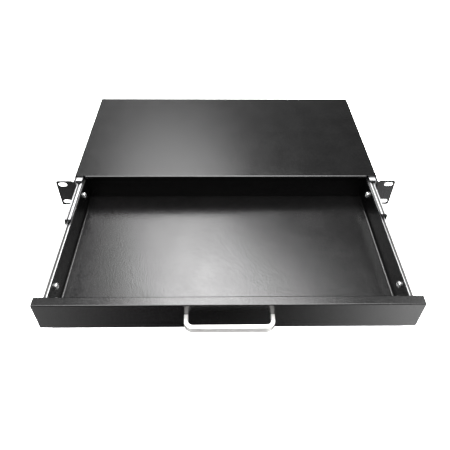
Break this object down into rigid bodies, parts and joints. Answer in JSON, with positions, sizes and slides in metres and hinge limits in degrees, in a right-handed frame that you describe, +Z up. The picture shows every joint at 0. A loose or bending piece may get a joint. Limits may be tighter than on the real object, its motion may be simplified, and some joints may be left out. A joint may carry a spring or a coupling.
{
  "type": "sliding rack drawer",
  "caption": "Shallow 19-inch rack drawer: black folded case with slotted ears, tray with flanged front and bow handle on telescopic ball-bearing slides.",
  "frame": {"origin": "centre of the pattern of four rack slots, on the ears' front plane", "axes": "+X to the right seen from the front, +Y into the rack, +Z up"},
  "size_m": [0.4826, 0.4608, 0.044],
  "materials": {
    "black_powder_coat": "semi-gloss fine-texture powder coat",
    "zinc_plated_steel": "bright zinc plate",
    "bearing_steel": "polished",
    "bright_screws": "bright nickel plate",
    "black_plastic": "matt moulded",
    "satin_aluminium": "satin anodised"
  },
  "bodies": {
    "case": {"case_shell": "black_powder_coat", "base_plate": "black_powder_coat", "base_screws": "bright_screws", "clinch_nuts": "bright_screws", "slide_outer_left": "zinc_plated_steel", "outer_bumper_left": "black_plastic", "rail_screws_left": "bright_screws", "slide_outer_right": "zinc_plated_steel", "outer_bumper_right": "black_plastic", "rail_screws_right": "bright_screws"},
    "drawer": {"drawer_tray": "black_powder_coat", "drawer_front": "black_powder_coat", "front_nuts": "bright_screws", "pull_handle": "satin_aluminium", "handle_screws": "bright_screws", "slide_inner_left": "zinc_plated_steel", "tray_screws_left": "bright_screws", "slide_inner_right": "zinc_plated_steel", "tray_screws_right": "bright_screws"},
    "middle_left": {"slide_middle_left": "zinc_plated_steel", "middle_bumper_left": "black_plastic"},
    "outer_cage_left": {"outer_cage_left": "zinc_plated_steel", "outer_balls_left": "bearing_steel"},
    "inner_cage_left": {"inner_cage_left": "zinc_plated_steel", "inner_balls_left": "bearing_steel"},
    "middle_right": {"slide_middle_right": "zinc_plated_steel", "middle_bumper_right": "black_plastic"},
    "outer_cage_right": {"outer_cage_right": "zinc_plated_steel", "outer_balls_right": "bearing_steel"},
    "inner_cage_right": {"inner_cage_right": "zinc_plated_steel", "inner_balls_right": "bearing_steel"}
  },
  "joints": [
    {"name": "drawer_slide", "type": "slide", "parent": "case", "child": "drawer", "axis": [0, 1, 0], "range_m": [-0.009, 0.211]},
    {"name": "middle_left_slide", "type": "slide", "parent": "case", "child": "middle_left", "axis": [0, 1, 0], "range_m": [-0.00357, 0.0792]},
    {"name": "outer_cage_left_slide", "type": "slide", "parent": "case", "child": "outer_cage_left", "axis": [0, 1, 0], "range_m": [-0.00188, 0.0397]},
    {"name": "inner_cage_left_slide", "type": "slide", "parent": "case", "child": "inner_cage_left", "axis": [0, 1, 0], "range_m": [-0.00639, 0.1452]},
    {"name": "middle_right_slide", "type": "slide", "parent": "case", "child": "middle_right", "axis": [0, 1, 0], "range_m": [-0.00319, 0.0702]},
    {"name": "outer_cage_right_slide", "type": "slide", "parent": "case", "child": "outer_cage_right", "axis": [0, 1, 0], "range_m": [-0.00169, 0.0352]},
    {"name": "inner_cage_right_slide", "type": "slide", "parent": "case", "child": "inner_cage_right", "axis": [0, 1, 0], "range_m": [-0.00619, 0.1407]}
  ],
  "couplings": [
    {"joint": "middle_left_slide", "follows": "drawer_slide", "ratio": 0.37441},
    {"joint": "outer_cage_left_slide", "follows": "drawer_slide", "ratio": 0.1872},
    {"joint": "inner_cage_left_slide", "follows": "drawer_slide", "ratio": 0.6872},
    {"joint": "middle_right_slide", "follows": "drawer_slide", "ratio": 0.33175},
    {"joint": "outer_cage_right_slide", "follows": "drawer_slide", "ratio": 0.16588},
    {"joint": "inner_cage_right_slide", "follows": "drawer_slide", "ratio": 0.66588}
  ]
}
